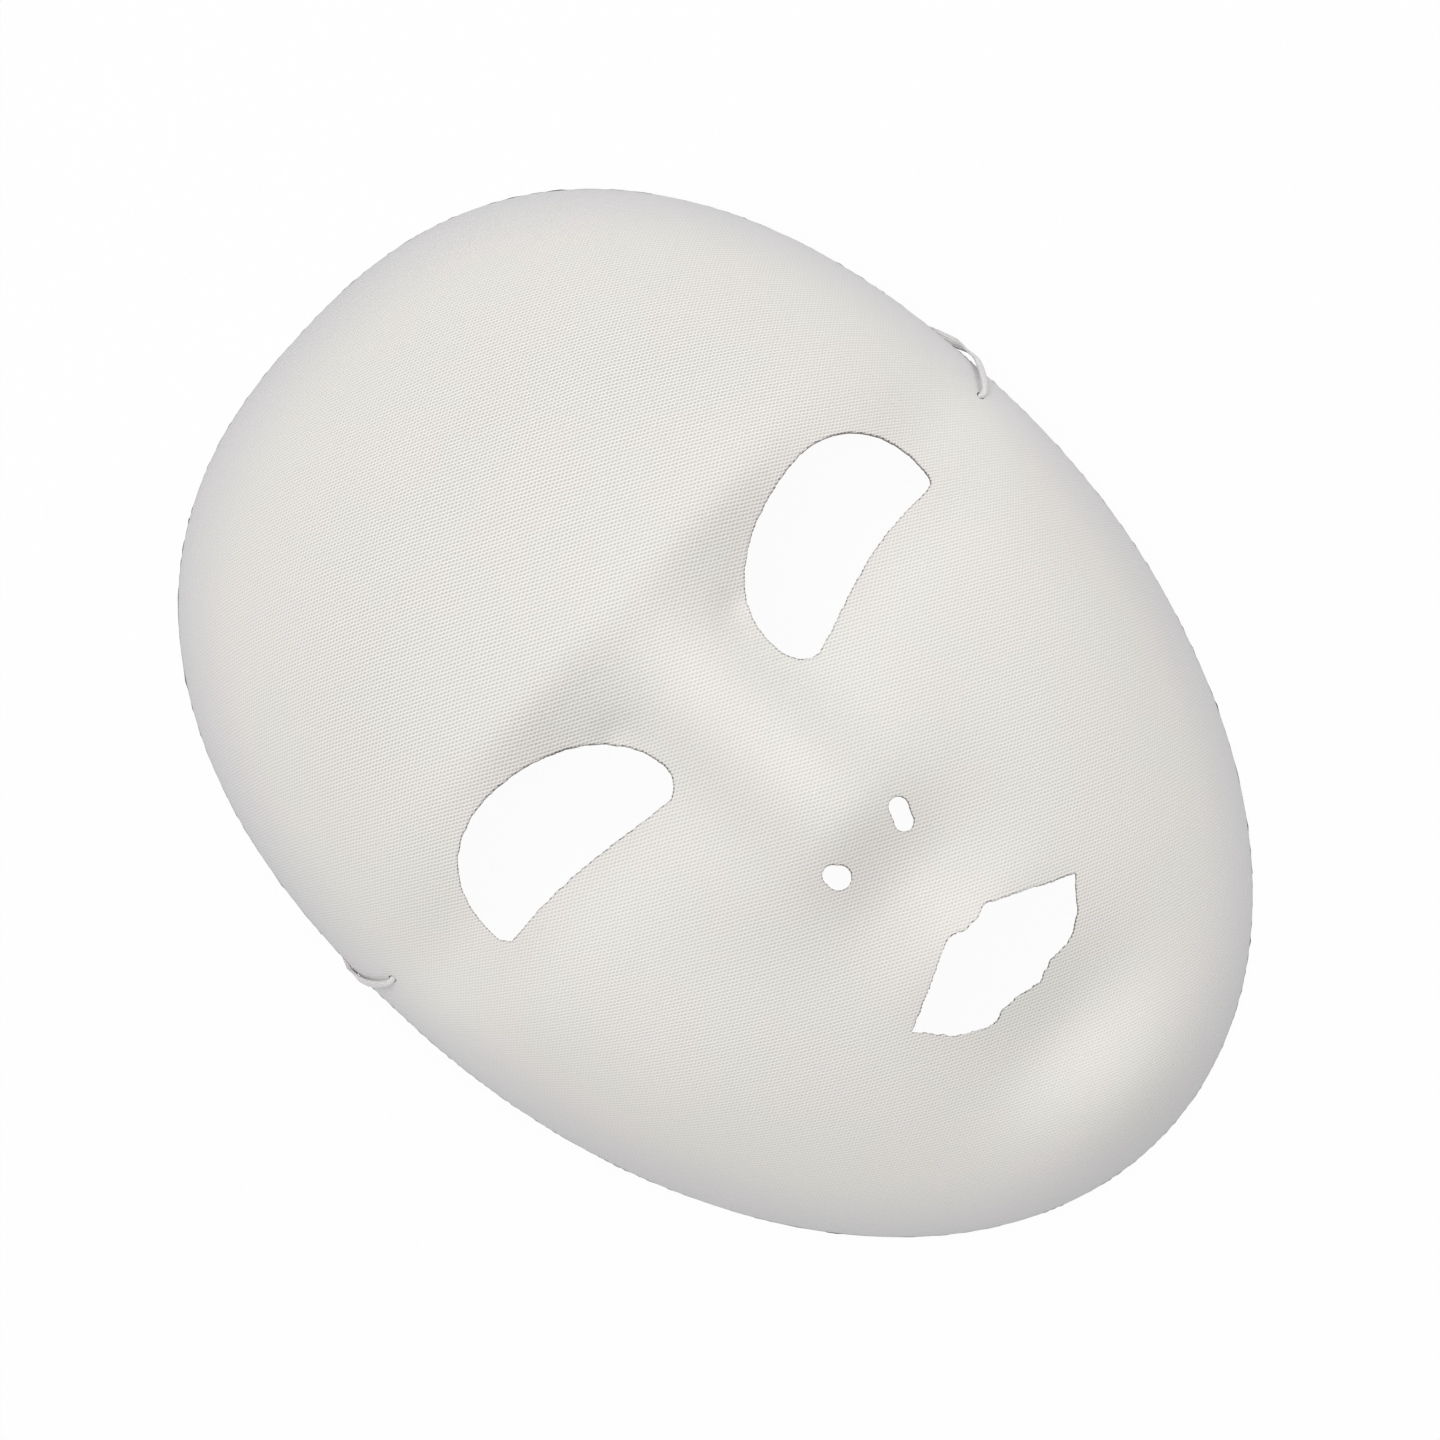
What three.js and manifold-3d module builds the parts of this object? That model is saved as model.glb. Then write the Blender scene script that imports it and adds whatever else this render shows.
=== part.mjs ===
// Blank full-face craft mask. A woven cloth face is bonded over a moulded backing
// shell, and a flat elastic strap is knotted behind a punched hole at each temple.
// The mask lies face up on its rim: +Z out of the face, +Y to the forehead, and +X
// to the right of someone who looks at it. Sizes are in millimetres.

import * as THREE from 'three';
import { mergeVertices } from 'three/addons/utils/BufferGeometryUtils.js';
import Module from 'manifold-3d';

const wasm = await Module();
wasm.setup();

// Rim outline from the front: a superellipse above the widest line, an ellipse below
const RIM_HALF_WIDTH = 88;
const RIM_TO_FOREHEAD = 112.8;
const RIM_TO_CHIN = 127.2;
const FOREHEAD_SQUARENESS = 2.4;
const CHIN_SQUARENESS = 2;

// Dome of the face over the rim, before the features are added. Its crown is flatter
// towards the forehead than towards the chin, and changes over a span at the middle.
const DOME_HEIGHT = 54;
const FOREHEAD_CROWN_POWER = 2.85;
const CHIN_CROWN_POWER = 2.4;
const CROWN_CHANGE_SPAN = 60;
const DOME_WALL_POWER = 1.45;

// Soft features: how far each rises, where it lies and how far it spreads. One that is
// off the middle has a twin on the other side.
const BROW = { rise: 1.6, x: 29.5, y: 34.3, spreadX: 28.6, spreadY: 6 };
const BROW_MIDDLE = { rise: 2.7, x: 0, y: 34.3, spreadX: 23.4, spreadY: 10.9 };
const EYE_SOCKET = { rise: -10.9, x: 30.2, y: 14.6, spreadX: 23.1, spreadY: 14.2 };
const INNER_EYE = { rise: -1.9, x: 17.1, y: 16.1, spreadX: 4.7, spreadY: 4.2 };
const TEMPLE = { rise: -8, x: 70, y: 10.3, spreadX: 19.7, spreadY: 12.9 };
const CHEEK = { rise: 7.8, x: 69.3, y: -26.6, spreadX: 24, spreadY: 44.6 };
const NOSE_BRIDGE = { rise: 2.7, x: 0, y: -16.4, spreadX: 9.3, spreadY: 13.8 };
const NOSE_WING = { rise: 3.8, x: 20.4, y: -24.7, spreadX: 11.5, spreadY: 15.9 };
const UPPER_LIP = { rise: 2.5, x: 0, y: -47.1, spreadX: 11.2, spreadY: 7.8 };
const LIPS = { rise: 8.9, x: 0, y: -61.2, spreadX: 14.5, spreadY: 8.4 };
const CHIN_CREASE = { rise: -6.4, x: 0, y: -87.6, spreadX: 21.4, spreadY: 11.4 };
const CHIN_BALL = { rise: 7.4, x: 0, y: -114, spreadX: 24.7, spreadY: 17.9 };
const FEATURE_FADE_POWER = 12;

// Nose: a ridge that widens and rises from its root to its tip, then tucks under
const NOSE_ROOT_RISE = 2.3;
const NOSE_TIP_RISE = 13.2;
const NOSE_START_Y = 38;
const NOSE_ROOT_Y = 28.4;
const NOSE_TIP_Y = -24.8;
const NOSE_BASE_Y = -46.8;
const NOSE_ROOT_SPREAD = 9.6;
const NOSE_TIP_SPREAD = 15.3;
const NOSE_SHOULDER_POWER = 2.6;

// Wall, from the outside in
const CLOTH_THICKNESS = 0.4;
const LAYER_GAP = 0.3;
const BACKING_THICKNESS = 0.7;

// Rim: the cloth stops short of the surface that the backing stands on, and both
// arch up at the temples, where the strap passes under
const CLOTH_LIFT = 0.3;
const ARCH_HEIGHT = 4.2;
const ARCH_HALF_SPAN = 70;
const ARCH_CENTRE_Y = 13;

// Eye holes, both drawn as on the right side: from the outer corner over the crest and
// back along the sill, each curve with two control points and its end
const RIGHT_EYE = {
  corner: [62.3, 6.8],
  curves: [
    [[64.7, 17.3], [57.5, 27.1], [47.1, 27.2]],
    [[35.3, 27.4], [17.1, 21.6], [16.3, 6.5]],
    [[15.9, 2.6], [17.4, -1], [21, -1.6]],
    [[31.2, 0.4], [42.2, 6], [58.7, 4.2]],
    [[60.5, 4.3], [61.7, 4.6], [62.3, 6.8]],
  ],
};
const LEFT_EYE = {
  corner: [62.2, 6.7],
  curves: [
    [[62.6, 17.8], [57.4, 25.3], [46.5, 26.9]],
    [[35.1, 28.1], [16.5, 21.2], [15.3, 6.6]],
    [[14.8, 2.9], [18.3, 0], [20.2, 0.5]],
    [[30.3, 1.8], [42.5, 5.6], [58.1, 4.6]],
    [[60.3, 4.3], [61.3, 4.6], [62.2, 6.7]],
  ],
};

// Mouth hole, counter-clockwise from its left corner along the wavy lower lip
const MOUTH_OUTLINE = [
  [-20.8, -64.9], [-15.7, -71.9], [-10.2, -75.6], [-8.4, -76.1], [-5.8, -75.5], [-2.3, -75.7],
  [3.5, -77.4], [8.2, -75.8], [12.6, -76.2], [15, -75.5], [18.2, -73.7], [22, -69.6],
  [23.7, -67.8], [20.8, -66.2], [18, -64.6], [7.5, -58.2], [5.8, -57.9], [3.9, -58.9],
  [0.6, -58.4], [-2.1, -57.3], [-3.3, -57.3], [-6.2, -58.4], [-13.7, -61.9],
];

// Nostrils, each cut by round punches that overlap
const NOSTRIL_PUNCHES = [
  { x: 9.15, y: -32.8, radius: 2.1 },
  { x: 8.55, y: -34.1, radius: 2 },
  { x: 7.95, y: -35.4, radius: 2.05 },
  { x: -9.05, y: -32.3, radius: 2.1 },
  { x: -8.6, y: -33.5, radius: 2.5 },
];

// Strap holes at the temples; the strap swings about the line through them
const HOLE_RADIUS = 1;
const HOLE_HEIGHT = 15.4;
const RIGHT_HOLE_Y = 9.2;
const LEFT_HOLE_Y = 17.1;

// Flat elastic strap, gathered into a rounder bunch where it goes through a hole
const STRAP_WIDTH = 2;
const STRAP_THICKNESS = 0.6;
const BUNCH_WIDTH = 1.3;
const BUNCH_THICKNESS = 0.8;

// Knots behind the holes: two wraps side by side and the strap's cut end
const WRAP_RADIUS = 1.5;
const WRAP_OFFSET = 1.2;
const WRAP_SPACING = 1.15;
const TAIL_LENGTH = 7;

// Clearance between a knot and what it bears on
const SEAT_GAP = 0.45;

// Mesh counts
const SHEET_COLUMNS = 30;
const SHEET_ROWS = 36;
const EYE_STEPS = 8;
const NOSTRIL_STEPS = 8;
const ARCH_STEPS = 12;
const ROUND_STEPS = 20;
const WRAP_STEPS = 5;
const STRAP_STEPS = 80;

// Looks
const CLOTH_COLOUR = 0xe7e4df;
const BACKING_COLOUR = 0xd8d3c8;
const STRAP_COLOUR = 0xe6e3de;

const WIDEST_Y = (RIM_TO_CHIN - RIM_TO_FOREHEAD) / 2;
const WALL_THICKNESS = CLOTH_THICKNESS + LAYER_GAP + BACKING_THICKNESS;

function smooth(value) {
  const t = Math.min(Math.max(value, 0), 1);
  return t * t * (3 - 2 * t);
}

function bell(distance, spread) {
  return Math.exp(-((distance / spread) ** 2));
}

// 0 at the middle of the rim outline, 1 on it
function outlineNorm(x, y) {
  const above = y >= WIDEST_Y;
  const power = above ? FOREHEAD_SQUARENESS : CHIN_SQUARENESS;
  const length = above ? RIM_TO_FOREHEAD : RIM_TO_CHIN;
  const across = Math.abs(x) / RIM_HALF_WIDTH;
  const along = Math.abs(y - WIDEST_Y) / length;
  return (across ** power + along ** power) ** (1 / power);
}

function feature(shape, x, y) {
  let across = bell(x - shape.x, shape.spreadX);
  if (shape.x > 0) {
    across += bell(x + shape.x, shape.spreadX);
  }
  return shape.rise * across * bell(y - shape.y, shape.spreadY);
}

const FEATURES = [
  BROW, BROW_MIDDLE, EYE_SOCKET, INNER_EYE, TEMPLE, CHEEK, NOSE_BRIDGE, NOSE_WING,
  UPPER_LIP, LIPS, CHIN_CREASE, CHIN_BALL,
];

function noseHeight(x, y) {
  const growth = smooth((NOSE_ROOT_Y - y) / (NOSE_ROOT_Y - NOSE_TIP_Y));
  const ridge = NOSE_ROOT_RISE + (NOSE_TIP_RISE - NOSE_ROOT_RISE) * growth;
  const start = smooth((NOSE_START_Y - y) / (NOSE_START_Y - NOSE_ROOT_Y + NOSE_ROOT_SPREAD));
  const tuck = smooth((y - NOSE_BASE_Y) / (NOSE_TIP_Y - NOSE_BASE_Y));
  const spread = NOSE_ROOT_SPREAD + (NOSE_TIP_SPREAD - NOSE_ROOT_SPREAD) * growth;
  return ridge * start * tuck * Math.exp(-((Math.abs(x) / spread) ** NOSE_SHOULDER_POWER));
}

// Radius of the arc that arches the rim up at the temples
const ARCH_RADIUS = (ARCH_HALF_SPAN ** 2 + ARCH_HEIGHT ** 2) / (2 * ARCH_HEIGHT);

function archHeight(y) {
  const along = Math.min(Math.abs(y - ARCH_CENTRE_Y), ARCH_HALF_SPAN);
  return Math.sqrt(ARCH_RADIUS ** 2 - along ** 2) - ARCH_RADIUS + ARCH_HEIGHT;
}

// Height of the cloth's outer face over the surface that the mask lies on
function faceHeight(x, y) {
  const rho = Math.min(outlineNorm(x, y), 1);
  const upper = smooth(0.5 + y / CROWN_CHANGE_SPAN);
  const crownPower = CHIN_CROWN_POWER + (FOREHEAD_CROWN_POWER - CHIN_CROWN_POWER) * upper;
  const dome = DOME_HEIGHT * (1 - rho ** crownPower) ** (1 / DOME_WALL_POWER);
  let features = noseHeight(x, y);
  for (const shape of FEATURES) {
    features += feature(shape, x, y);
  }
  const nearRim = rho ** FEATURE_FADE_POWER;
  return dome + features * (1 - nearRim) + archHeight(y) * nearRim;
}

// Outward normal of the outer face, read just inside the rim where the wall is steep
function faceNormal(x, y) {
  const step = 0.05;
  const steepest = 0.998;
  const pull = Math.min(1, steepest / Math.max(outlineNorm(x, y), steepest));
  const px = x * pull;
  const py = WIDEST_Y + (y - WIDEST_Y) * pull;
  const slopeX = (faceHeight(px + step, py) - faceHeight(px - step, py)) / (2 * step);
  const slopeY = (faceHeight(px, py + step) - faceHeight(px, py - step)) / (2 * step);
  return new THREE.Vector3(-slopeX, -slopeY, 1).normalize();
}

// Rounds a square sheet, u and v from -1 to 1, into the rim outline. Its cells are
// smaller at the nose and in the steep wall near the rim.
function sheetToOutline(u, v) {
  const centreCrowding = 0.33;
  const rimCrowding = 0.3;
  const a = u * (1 - centreCrowding + centreCrowding * u * u);
  const b = v * (1 - centreCrowding + centreCrowding * v * v);
  const discX = a * Math.sqrt(1 - (b * b) / 2);
  const discY = b * Math.sqrt(1 - (a * a) / 2);
  const radius = Math.hypot(discX, discY);
  if (radius === 0) {
    return [0, WIDEST_Y];
  }
  const rho = radius * (1 + rimCrowding - rimCrowding * radius ** (1 / rimCrowding));
  const length = discY >= 0 ? RIM_TO_FOREHEAD : RIM_TO_CHIN;
  const x = (discX / radius) * RIM_HALF_WIDTH;
  const y = (discY / radius) * length;
  const reach = rho / outlineNorm(x, WIDEST_Y + y);
  return [x * reach, WIDEST_Y + y * reach];
}

function toSolid(geometry) {
  const bare = geometry.clone();
  bare.deleteAttribute('normal');
  bare.deleteAttribute('uv');
  const merged = mergeVertices(bare);
  return new wasm.Manifold(new wasm.Mesh({
    numProp: 3,
    vertProperties: new Float32Array(merged.attributes.position.array),
    triVerts: new Uint32Array(merged.index.array),
  }));
}

function toGeometry(solid) {
  const mesh = solid.getMesh();
  const geometry = new THREE.BufferGeometry();
  geometry.setAttribute('position', new THREE.Float32BufferAttribute(mesh.vertProperties, 3));
  geometry.setIndex(new THREE.Uint32BufferAttribute(mesh.triVerts, 1));
  geometry.computeVertexNormals();
  return geometry;
}

// The vertices round the edge of the sheet, counter-clockwise seen from the front
function sheetEdge() {
  const edge = [];
  const across = SHEET_COLUMNS + 1;
  for (let i = 0; i < SHEET_COLUMNS; i += 1) {
    edge.push(SHEET_ROWS * across + i);
  }
  for (let j = SHEET_ROWS; j > 0; j -= 1) {
    edge.push(j * across + SHEET_COLUMNS);
  }
  for (let i = SHEET_COLUMNS; i > 0; i -= 1) {
    edge.push(i);
  }
  for (let j = 0; j < SHEET_ROWS; j += 1) {
    edge.push(j * across);
  }
  return edge;
}

// One layer of the wall, between two depths below the outer face. A short straight
// skirt carries its rim below the surface that the mask lies on, to be cut off there.
function layerGeometry(outerDepth, innerDepth) {
  const skirt = 2;
  const sheet = new THREE.PlaneGeometry(2, 2, SHEET_COLUMNS, SHEET_ROWS);
  const flat = sheet.attributes.position;
  const count = flat.count;
  const edge = sheetEdge();
  const depths = [outerDepth, innerDepth];
  const points = [];
  for (const depth of depths) {
    for (let i = 0; i < count; i += 1) {
      const [x, y] = sheetToOutline(flat.getX(i), flat.getY(i));
      const point = new THREE.Vector3(x, y, faceHeight(x, y));
      point.addScaledVector(faceNormal(x, y), -depth);
      points.push(point);
    }
  }
  for (let layer = 0; layer < depths.length; layer += 1) {
    for (const index of edge) {
      const rimPoint = points[layer * count + index];
      points.push(new THREE.Vector3(rimPoint.x, rimPoint.y, -skirt));
    }
  }

  const triangles = [];
  const faces = sheet.index.array;
  for (let i = 0; i < faces.length; i += 3) {
    triangles.push(faces[i], faces[i + 1], faces[i + 2]);
    triangles.push(count + faces[i], count + faces[i + 2], count + faces[i + 1]);
  }
  const outerSkirt = 2 * count;
  const innerSkirt = outerSkirt + edge.length;
  for (let i = 0; i < edge.length; i += 1) {
    const next = (i + 1) % edge.length;
    const rim = edge[i];
    const rimNext = edge[next];
    triangles.push(outerSkirt + i, outerSkirt + next, rimNext);
    triangles.push(outerSkirt + i, rimNext, rim);
    triangles.push(outerSkirt + i, innerSkirt + i, innerSkirt + next);
    triangles.push(outerSkirt + i, innerSkirt + next, outerSkirt + next);
    triangles.push(innerSkirt + i, count + rimNext, innerSkirt + next);
    triangles.push(innerSkirt + i, count + rim, count + rimNext);
  }
  const geometry = new THREE.BufferGeometry();
  geometry.setAttribute('position', new THREE.Float32BufferAttribute(
    points.flatMap((point) => point.toArray()),
    3,
  ));
  geometry.setIndex(triangles);
  return geometry;
}

// Everything below the rim: a slab under the mask whose top arches at the temples
function belowRim(lift) {
  const reach = 2 * RIM_TO_CHIN;
  const width = 4 * RIM_HALF_WIDTH;
  const depth = 10;
  const halfAngle = Math.asin(ARCH_HALF_SPAN / ARCH_RADIUS);
  const profile = new THREE.Shape();
  profile.moveTo(-reach, -depth);
  profile.lineTo(reach, -depth);
  profile.lineTo(reach, lift);
  profile.lineTo(ARCH_CENTRE_Y + ARCH_HALF_SPAN, lift);
  profile.absarc(
    ARCH_CENTRE_Y,
    lift + ARCH_HEIGHT - ARCH_RADIUS,
    ARCH_RADIUS,
    Math.PI / 2 - halfAngle,
    Math.PI / 2 + halfAngle,
  );
  profile.lineTo(-reach, lift);
  const slab = new THREE.ExtrudeGeometry(profile, {
    depth: width,
    bevelEnabled: false,
    curveSegments: ARCH_STEPS,
  });
  slab.translate(0, 0, -width / 2);
  const sideways = new THREE.Matrix4().makeBasis(
    new THREE.Vector3(0, 1, 0),
    new THREE.Vector3(0, 0, 1),
    new THREE.Vector3(1, 0, 0),
  );
  return toSolid(slab.applyMatrix4(sideways));
}

function eyeShape(outline) {
  const eye = new THREE.Shape();
  eye.moveTo(...outline.corner);
  for (const curve of outline.curves) {
    eye.bezierCurveTo(...curve.flat());
  }
  return eye;
}

// A cutter that runs straight through the face from the front
function punch(shape, curveSegments) {
  const tallest = DOME_HEIGHT + NOSE_TIP_RISE + LIPS.rise;
  const cutter = new THREE.ExtrudeGeometry(shape, {
    depth: 2 * tallest,
    bevelEnabled: false,
    curveSegments,
  });
  return toSolid(cutter);
}

function circleShape(circle) {
  const shape = new THREE.Shape();
  shape.absarc(circle.x, circle.y, circle.radius, 0, 2 * Math.PI);
  return shape;
}

// Where the outer face stands at the height of the holes, found by halving
function wallX(y) {
  const halvings = 40;
  let inside = 0;
  let outside = RIM_HALF_WIDTH;
  for (let i = 0; i < halvings; i += 1) {
    const middle = (inside + outside) / 2;
    if (faceHeight(middle, y) > HOLE_HEIGHT) {
      inside = middle;
    } else {
      outside = middle;
    }
  }
  return inside;
}

const rightHole = new THREE.Vector3(wallX(RIGHT_HOLE_Y), RIGHT_HOLE_Y, HOLE_HEIGHT);
const leftHole = new THREE.Vector3(-wallX(LEFT_HOLE_Y), LEFT_HOLE_Y, HOLE_HEIGHT);
const towardsRight = rightHole.clone().sub(leftHole).normalize();

function holePunch(hole) {
  const length = 6 * WALL_THICKNESS;
  const drill = new THREE.CylinderGeometry(HOLE_RADIUS, HOLE_RADIUS, length, ROUND_STEPS);
  const turn = new THREE.Quaternion().setFromUnitVectors(new THREE.Vector3(0, 1, 0), towardsRight);
  drill.applyQuaternion(turn);
  drill.translate(hole.x, hole.y, hole.z);
  return toSolid(drill);
}

// All the cuts that go through both layers, made with one set of tools
function punches() {
  const leftEye = punch(eyeShape(LEFT_EYE), EYE_STEPS).mirror([1, 0, 0]);
  const mouth = new THREE.Shape(MOUTH_OUTLINE.map(([x, y]) => new THREE.Vector2(x, y)));
  let tools = punch(eyeShape(RIGHT_EYE), EYE_STEPS).add(leftEye);
  tools = tools.add(punch(mouth, 1));
  for (const circle of NOSTRIL_PUNCHES) {
    tools = tools.add(punch(circleShape(circle), NOSTRIL_STEPS));
  }
  tools = tools.add(holePunch(rightHole));
  return tools.add(holePunch(leftHole));
}

const faceCuts = punches();

function wallLayer(outerDepth, innerDepth, lift) {
  const layer = toSolid(layerGeometry(outerDepth, innerDepth));
  return toGeometry(layer.subtract(belowRim(lift)).subtract(faceCuts));
}

// A knot sits behind its hole, on the line that the strap swings about. How far in
// follows from the slant of the wall there, so that its front wrap just clears it.
function knotCentre(hole, outward) {
  const slant = faceNormal(hole.x, hole.y).dot(outward);
  const lean = Math.sqrt(1 - slant * slant);
  const front = WRAP_RADIUS + WRAP_OFFSET * lean + WRAP_SPACING * slant;
  return hole.clone().addScaledVector(outward, -(WALL_THICKNESS + SEAT_GAP + front) / slant);
}

const towardsLeft = towardsRight.clone().negate();
const rightKnotCentre = knotCentre(rightHole, towardsRight);
const leftKnotCentre = knotCentre(leftHole, towardsLeft);
const knotFront = WRAP_SPACING + WRAP_RADIUS;

function stripShape(width, thickness) {
  const halfWidth = width / 2;
  const halfThickness = thickness / 2;
  const cornerShare = 0.6;
  const corner = cornerShare * halfThickness;
  return [
    [halfWidth, corner - halfThickness],
    [halfWidth, halfThickness - corner],
    [halfWidth - corner, halfThickness],
    [corner - halfWidth, halfThickness],
    [-halfWidth, halfThickness - corner],
    [-halfWidth, corner - halfThickness],
    [corner - halfWidth, -halfThickness],
    [halfWidth - corner, -halfThickness],
  ];
}

function knotGeometry(centre, outward) {
  const profile = [new THREE.Vector2(0, -knotFront)];
  for (const side of [-1, 1]) {
    const waist = Math.asin(WRAP_SPACING / WRAP_RADIUS);
    const from = side < 0 ? -Math.PI / 2 : -waist;
    const to = side < 0 ? waist : Math.PI / 2;
    for (let i = 0; i <= WRAP_STEPS; i += 1) {
      const angle = from + ((to - from) * i) / WRAP_STEPS;
      const isSharedWaist = side > 0 && i === 0;
      if (!isSharedWaist) {
        profile.push(new THREE.Vector2(
          WRAP_OFFSET + WRAP_RADIUS * Math.cos(angle),
          side * WRAP_SPACING + WRAP_RADIUS * Math.sin(angle),
        ));
      }
    }
  }
  profile.push(new THREE.Vector2(0, knotFront));
  const wraps = new THREE.LatheGeometry(profile, ROUND_STEPS);

  const strip = stripShape(STRAP_WIDTH, STRAP_THICKNESS).map(([x, y]) => new THREE.Vector2(x, y));
  const tail = new THREE.ExtrudeGeometry(new THREE.Shape(strip), {
    depth: TAIL_LENGTH + WRAP_SPACING,
    bevelEnabled: false,
  });
  tail.rotateX(Math.PI / 2);
  tail.translate(0, -WRAP_SPACING, 0);

  const knot = toGeometry(toSolid(wraps).add(toSolid(tail)));
  const turn = new THREE.Quaternion().setFromUnitVectors(new THREE.Vector3(0, 1, 0), outward);
  knot.applyQuaternion(turn);
  return knot.translate(centre.x, centre.y, centre.z);
}

// Strap route. At each temple it is chosen from the rim's half width and the hole:
// how far beyond the half width, how far towards the forehead, and how high.
const RIGHT_DROP = [
  [-1.65, 2.1, 12.6],
  [-0.2, 3.9, 9.3],
  [0.85, 5.7, 6.7],
  [1.12, 7.4, 4.9],
  [1.05, 9.3, 3.6],
  [0.7, 11.4, 2.6],
  [0.1, 13.6, 1.9],
  [-0.8, 16.4, 1.4],
];
const LEFT_DROP = [
  [-2.55, 0.9, 13.9],
  [-1.4, 2, 11.4],
  [-0.5, 3.3, 8.9],
  [0.05, 4.6, 6.6],
  [0.3, 5.9, 4.8],
  [0.05, 7.2, 3.3],
  [-0.6, 8.7, 2.2],
  [-1.5, 10.8, 1.4],
];

// The rest lies flat on the surface in a loop under the forehead
const LOOP = [
  [84.6, 31], [82.2, 39.5], [76.8, 50.5], [68.4, 62], [56.6, 72.6], [41.5, 81.6],
  [22, 88], [0, 90.2], [-22, 88.2], [-41.5, 82], [-56.8, 73.2], [-68.6, 62.8],
  [-77, 51.6], [-82.3, 41.2], [-85, 33.2],
];
const LOOP_HEIGHT = 0.45;

function strapRoute() {
  const endGap = knotFront + SEAT_GAP;
  const outside = 0.9;
  const rightEnd = rightKnotCentre.clone().addScaledVector(towardsRight, endGap);
  const leftEnd = leftKnotCentre.clone().addScaledVector(towardsLeft, endGap);
  const rightExit = rightHole.clone().addScaledVector(towardsRight, outside);
  const leftExit = leftHole.clone().addScaledVector(towardsLeft, outside);
  const route = [rightEnd, rightEnd.clone().lerp(rightExit, 0.5), rightExit];
  for (const [beyond, ahead, height] of RIGHT_DROP) {
    route.push(new THREE.Vector3(RIM_HALF_WIDTH + beyond, RIGHT_HOLE_Y + ahead, height));
  }
  for (const [x, y] of LOOP) {
    route.push(new THREE.Vector3(x, y, LOOP_HEIGHT));
  }
  for (const [beyond, ahead, height] of [...LEFT_DROP].reverse()) {
    route.push(new THREE.Vector3(-RIM_HALF_WIDTH - beyond, LEFT_HOLE_Y + ahead, height));
  }
  route.push(leftExit, leftEnd.clone().lerp(leftExit, 0.5), leftEnd);
  return route;
}

// Which way the strip's width points: up and forward beside the wall, and away from
// the middle of the loop where it lies flat
function widthHint(point) {
  const loopMiddleY = 28;
  const turnHeight = 5;
  const inward = -0.25;
  const forward = 0.77;
  const upward = 0.64;
  const flat = 1 - smooth((point.z - LOOP_HEIGHT) / turnHeight);
  const beside = new THREE.Vector3(inward * Math.sign(point.x), forward, upward);
  const away = new THREE.Vector3(point.x, Math.max(point.y - loopMiddleY, 0), 0).normalize();
  return beside.multiplyScalar(1 - flat).addScaledVector(away, flat).normalize();
}

function strapGeometry() {
  const route = strapRoute();
  const curve = new THREE.CatmullRomCurve3(route, false, 'centripetal');
  const gatherSpan = 7;
  const bunchSpan = 3.2;
  const points = [];
  for (let i = 0; i <= STRAP_STEPS; i += 1) {
    const t = i / STRAP_STEPS;
    const middle = curve.getPoint(t);
    const along = curve.getTangent(t);
    const across = widthHint(middle);
    across.addScaledVector(along, -across.dot(along)).normalize();
    const through = along.clone().cross(across);
    const fromHole = Math.min(middle.distanceTo(rightKnotCentre), middle.distanceTo(leftKnotCentre));
    const spread = smooth((fromHole - knotFront - bunchSpan) / gatherSpan);
    const width = BUNCH_WIDTH + (STRAP_WIDTH - BUNCH_WIDTH) * spread;
    const thickness = BUNCH_THICKNESS + (STRAP_THICKNESS - BUNCH_THICKNESS) * spread;
    for (const [u, v] of stripShape(width, thickness)) {
      points.push(middle.clone().addScaledVector(across, u).addScaledVector(through, v));
    }
  }
  const sides = points.length / (STRAP_STEPS + 1);
  const triangles = [];
  for (let i = 0; i < STRAP_STEPS; i += 1) {
    for (let j = 0; j < sides; j += 1) {
      const k = (j + 1) % sides;
      const near = i * sides;
      const far = near + sides;
      triangles.push(near + j, near + k, far + k);
      triangles.push(near + j, far + k, far + j);
    }
  }
  const last = STRAP_STEPS * sides;
  for (let j = 1; j < sides - 1; j += 1) {
    triangles.push(0, j + 1, j);
    triangles.push(last, last + j, last + j + 1);
  }
  const geometry = new THREE.BufferGeometry();
  geometry.setAttribute('position', new THREE.Float32BufferAttribute(
    points.flatMap((point) => point.toArray()),
    3,
  ));
  geometry.setIndex(triangles);
  geometry.computeVertexNormals();
  console.log(`strap length ${curve.getLength().toFixed(1)} mm`);
  return geometry;
}

function piece(name, geometry, colour, roughness) {
  const material = new THREE.MeshStandardMaterial({ color: colour, roughness, metalness: 0 });
  const mesh = new THREE.Mesh(geometry, material);
  mesh.name = name;
  return mesh;
}

const mask = new THREE.Group();
mask.add(
  piece('cloth_face', wallLayer(0, CLOTH_THICKNESS, CLOTH_LIFT), CLOTH_COLOUR, 0.95),
  piece(
    'backing_shell',
    wallLayer(CLOTH_THICKNESS + LAYER_GAP, WALL_THICKNESS, 0),
    BACKING_COLOUR,
    0.9,
  ),
);

const strap = new THREE.Group();
strap.add(
  piece('elastic_strap', strapGeometry(), STRAP_COLOUR, 0.85),
  piece('knot_right', knotGeometry(rightKnotCentre, towardsRight), STRAP_COLOUR, 0.85),
  piece('knot_left', knotGeometry(leftKnotCentre, towardsLeft), STRAP_COLOUR, 0.85),
);

const part = new THREE.Group();
part.add(mask, strap);

export default part;
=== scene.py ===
# %% [markdown]
# # A blank cloth mask
# The object is a plain white face for painting and decorating. Woven cotton is glued
# over a moulded shell of paper fibre, the eyes, nostrils and mouth are cut out, and a
# flat elastic strap is knotted behind a hole at each temple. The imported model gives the
# true size and place of every piece. This script makes the pieces that it stands for
# again, finely enough to carry their cloth, and gives them light and a camera.

import math

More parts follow.
